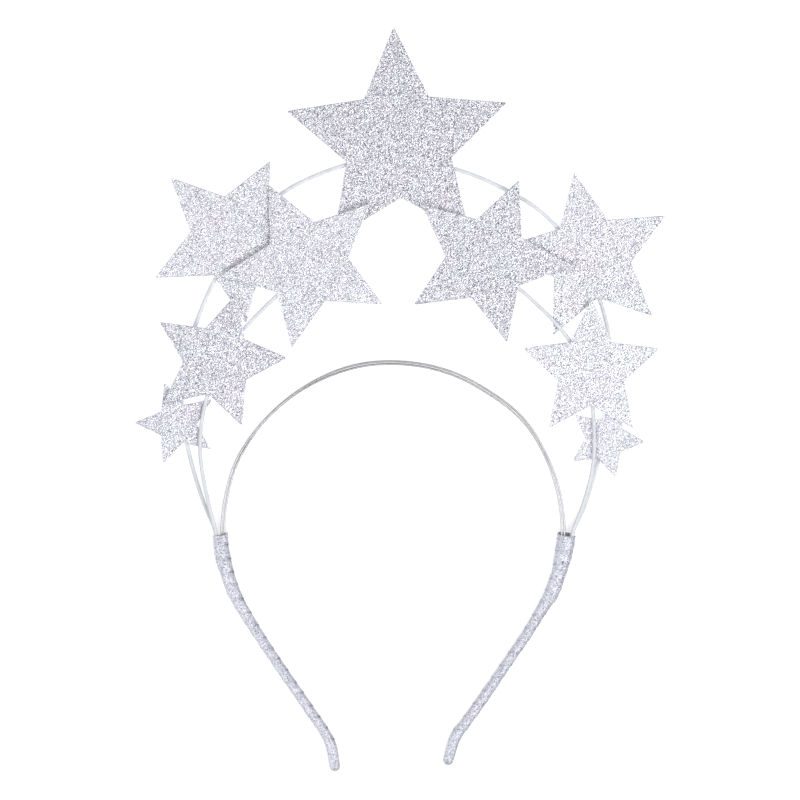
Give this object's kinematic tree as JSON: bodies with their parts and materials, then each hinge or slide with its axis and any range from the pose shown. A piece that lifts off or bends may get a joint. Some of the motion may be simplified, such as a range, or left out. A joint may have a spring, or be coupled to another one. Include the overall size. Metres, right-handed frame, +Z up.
{
  "type": "star headband",
  "caption": "Costume headband: glitter foam stars on two arches of coated wire above a sprung wire band with ribbon-wound legs.",
  "frame": {"origin": "on the surface that the headband lies on, under the middle of its outline", "axes": "+X to the right of its face, +Y from the legs towards the top star, +Z up out of the stars' glitter side"},
  "size_m": [0.1851, 0.26, 0.0058],
  "materials": {
    "glitter_foam": "silver glitter on white foam sheet",
    "glitter_ribbon": "fine silver-lilac glitter ribbon, wound in a spiral",
    "white_coating": "white coating on wire, satin",
    "bright_steel": "bare drawn spring steel wire"
  },
  "bodies": {
    "root": {"star_top": "glitter_foam", "star_upper_left": "glitter_foam", "star_upper_right": "glitter_foam", "star_small_left": "glitter_foam", "star_small_right": "glitter_foam", "star_inner_left": "glitter_foam", "star_inner_right": "glitter_foam", "star_mid_left": "glitter_foam", "star_mid_right": "glitter_foam", "halo_wire_outer": "white_coating", "halo_wire_inner": "white_coating", "band_wire_upper": "bright_steel", "band_wire_lower": "bright_steel", "leg_wrap_left": "glitter_ribbon", "leg_wrap_right": "glitter_ribbon"}
  },
  "joints": []
}
